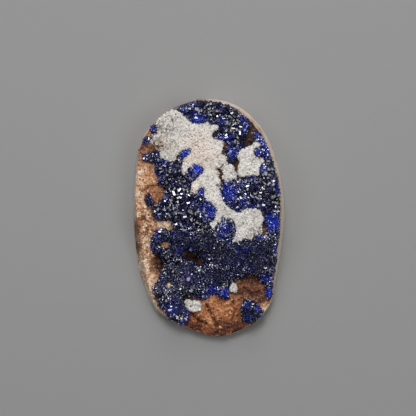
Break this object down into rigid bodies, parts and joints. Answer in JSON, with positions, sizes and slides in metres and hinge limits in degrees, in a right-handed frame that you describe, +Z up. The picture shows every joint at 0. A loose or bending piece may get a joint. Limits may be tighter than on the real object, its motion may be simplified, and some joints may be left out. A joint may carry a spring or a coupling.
{
  "type": "azurite specimen",
  "caption": "Oval slab of iron-stained rock, ground at its sides and flat on its back, its natural face grown over by a white crust and deep blue azurite druses; lies on its back.",
  "frame": {"origin": "middle of the flat sawn back, under the middle of the oval", "axes": "+Z up out of the natural face, +Y along the oval towards the azurite crown, +X to the right seen from above"},
  "size_m": [0.0266, 0.042, 0.0085],
  "materials": {
    "rock": "matt, iron-stained, ground at the sides",
    "azurite": "glassy crystal faces",
    "white_crust": "sugary, fine-grained"
  },
  "bodies": {
    "root": {"matrix": "rock", "azurite_main": "azurite", "azurite_crown": "azurite", "azurite_rosette": "azurite", "azurite_speck_west": "azurite", "azurite_nub_west": "azurite", "white_crust_main": "white_crust", "white_crust_east": "white_crust", "white_nub_south_west": "white_crust", "white_nub_south_east": "white_crust"}
  },
  "joints": []
}
